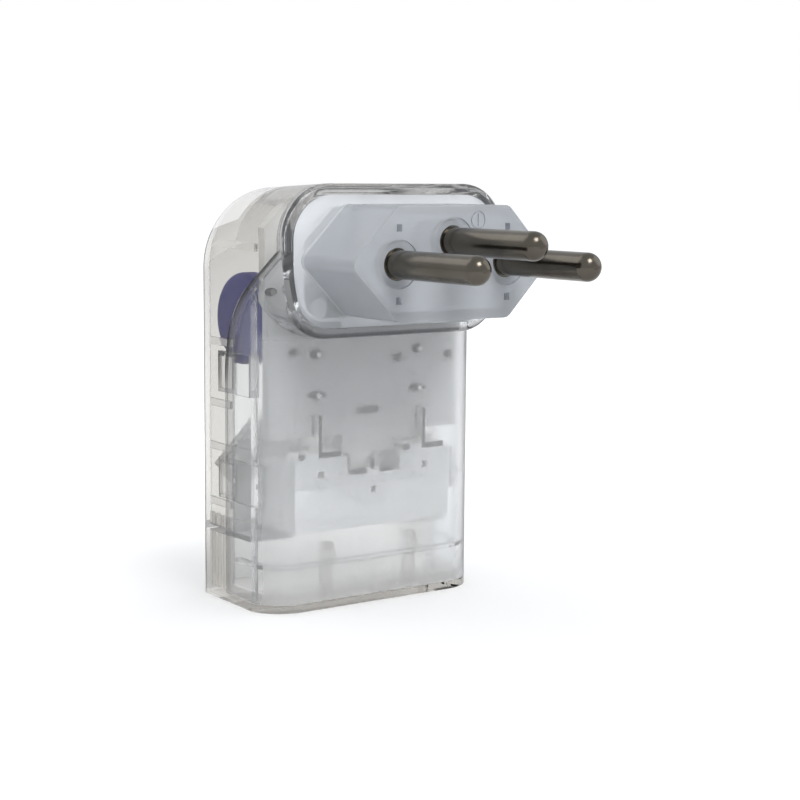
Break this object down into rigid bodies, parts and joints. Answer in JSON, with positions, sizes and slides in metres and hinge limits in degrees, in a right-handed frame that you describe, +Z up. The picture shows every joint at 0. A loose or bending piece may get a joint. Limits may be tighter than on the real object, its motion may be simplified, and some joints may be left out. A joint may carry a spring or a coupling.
{
  "type": "surge protector adapter",
  "caption": "Compact upright adapter with a hexagonal round-pin plug at the front, a matching socket at the back and a surge protection circuit in a clear and frosted casing.",
  "frame": {"origin": "middle of the width and depth, on the plane of the flat base", "axes": "+X across the face, +Y from the plug pins to the socket, +Z up"},
  "size_m": [0.0396, 0.0584, 0.0632],
  "materials": {
    "clear_plastic": "clear",
    "frosted_plastic": "frosted",
    "plug_plastic": "frosted",
    "pin_metal": "bright nickel",
    "contact_metal": "satin",
    "board_laminate": "satin",
    "varistor_coating": "satin",
    "fuse_metal": "satin",
    "lamp_resin": "clear",
    "chip_resin": "matt",
    "solder": "satin",
    "socket_plastic": "satin"
  },
  "bodies": {
    "root": {"back_shell": "clear_plastic", "front_shell": "frosted_plastic", "plug_body": "plug_plastic", "pin_retainer": "socket_plastic", "live_pin": "pin_metal", "neutral_pin": "pin_metal", "earth_pin": "pin_metal", "varistor_live_neutral": "varistor_coating", "varistor_live_earth": "varistor_coating", "varistor_neutral_earth": "varistor_coating", "thermal_fuse_live": "fuse_metal", "thermal_fuse_neutral": "fuse_metal", "status_led": "lamp_resin", "led_resistor": "chip_resin", "led_diode": "chip_resin", "live_contact": "contact_metal", "neutral_contact": "contact_metal", "earth_contact": "contact_metal", "circuit_board": "board_laminate", "solder_joints": "solder", "socket_body": "socket_plastic", "contact_retainer": "socket_plastic"}
  },
  "joints": []
}
